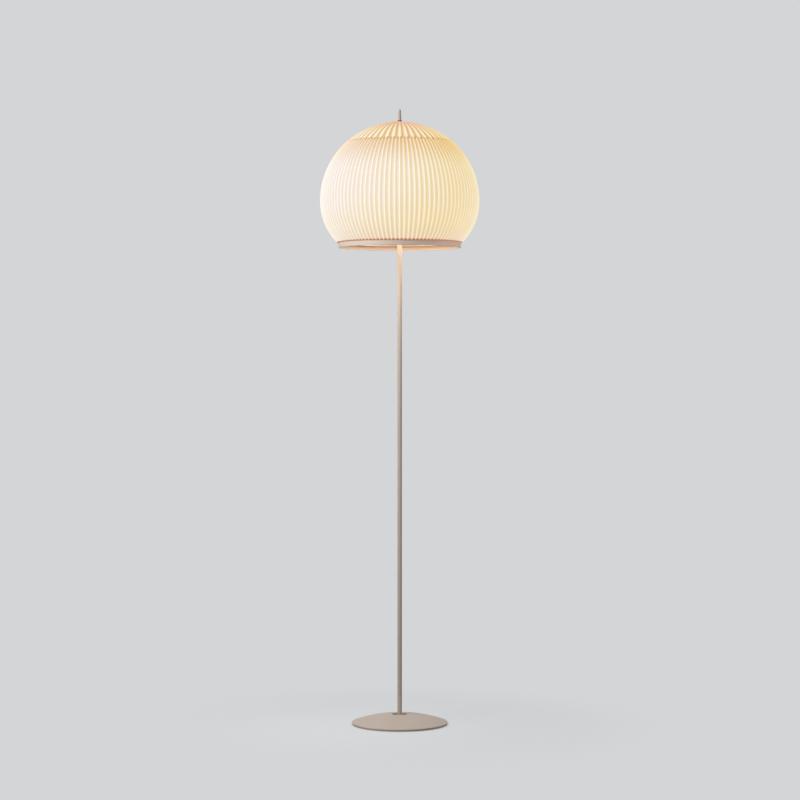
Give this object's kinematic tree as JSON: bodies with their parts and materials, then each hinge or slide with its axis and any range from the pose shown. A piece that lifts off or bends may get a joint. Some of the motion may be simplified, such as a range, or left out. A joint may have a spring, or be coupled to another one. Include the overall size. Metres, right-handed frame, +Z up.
{
  "type": "floor lamp",
  "caption": "Floor lamp with a domed round base, one slim stem and a pleated knit globe shade held by a ring, with a small finial on top.",
  "frame": {"origin": "on the floor, under the middle of the base", "axes": "+Z up along the stem, +Y towards the back, where the lead enters the base"},
  "size_m": [0.419, 0.419, 1.62],
  "materials": {
    "felt": "matte felt",
    "cast_iron": "rough cast",
    "shell_paint": "fine satin powder coat",
    "steel": "turned and zinc plated",
    "bush_rubber": "matte",
    "lead_sheath": "matte sheath",
    "frame_paint": "matte white",
    "holder_paint": "satin white",
    "ceramic": "glazed",
    "cap_metal": "pressed",
    "opal": "opal, lit",
    "knit": "pleated knit, lit from inside",
    "collar_metal": "dark satin"
  },
  "bodies": {
    "stand": {"base_pad": "felt", "base_weight": "cast_iron", "base_cover": "shell_paint", "foot_hub": "steel", "foot_screws": "steel", "stem_tube": "shell_paint", "cord_bush": "bush_rubber", "inner_lead": "lead_sheath", "cluster_body": "steel", "set_screw": "steel", "shade_rod": "steel", "rod_nut": "steel", "left_arm": "steel", "left_arm_nuts": "steel", "left_holder": "holder_paint", "left_socket": "ceramic", "right_arm": "steel", "right_arm_nuts": "steel", "right_holder": "holder_paint", "right_socket": "ceramic"},
    "shade": {"shade_hub": "frame_paint", "upper_hoop": "frame_paint", "spider_arms": "frame_paint", "lower_ring": "shell_paint", "cage_ribs": "frame_paint", "knit_body": "knit", "knit_cap": "knit"},
    "left_lamp": {"left_lamp_cap": "cap_metal", "left_lamp_globe": "opal"},
    "right_lamp": {"right_lamp_cap": "cap_metal", "right_lamp_globe": "opal"},
    "collar": {"finial_collar": "collar_metal"},
    "finial": {"finial": "shell_paint"}
  },
  "joints": [
    {"name": "shade_turn", "type": "hinge", "parent": "stand", "child": "shade", "pos_m": [0, 0, 1.58], "axis": [0, 0, 1], "continuous": true},
    {"name": "left_lamp_turn", "type": "hinge", "parent": "stand", "child": "left_lamp", "pos_m": [-0.062, 0, 1.4], "axis": [0, 0, 1], "range_deg": [0, 1080]},
    {"name": "right_lamp_turn", "type": "hinge", "parent": "stand", "child": "right_lamp", "pos_m": [0.062, 0, 1.4], "axis": [0, 0, 1], "range_deg": [0, 1080]},
    {"name": "finial_lift", "type": "slide", "parent": "stand", "child": "collar", "axis": [0, 0, 1], "range_m": [0, 0.008]},
    {"name": "finial_turn", "type": "hinge", "parent": "collar", "child": "finial", "pos_m": [0, 0, 1.6], "axis": [0, 0, 1], "range_deg": [0, 2880]}
  ],
  "couplings": [
    {"joint": "finial_turn", "follows": "finial_lift", "rad_per_m": 6283.2}
  ]
}
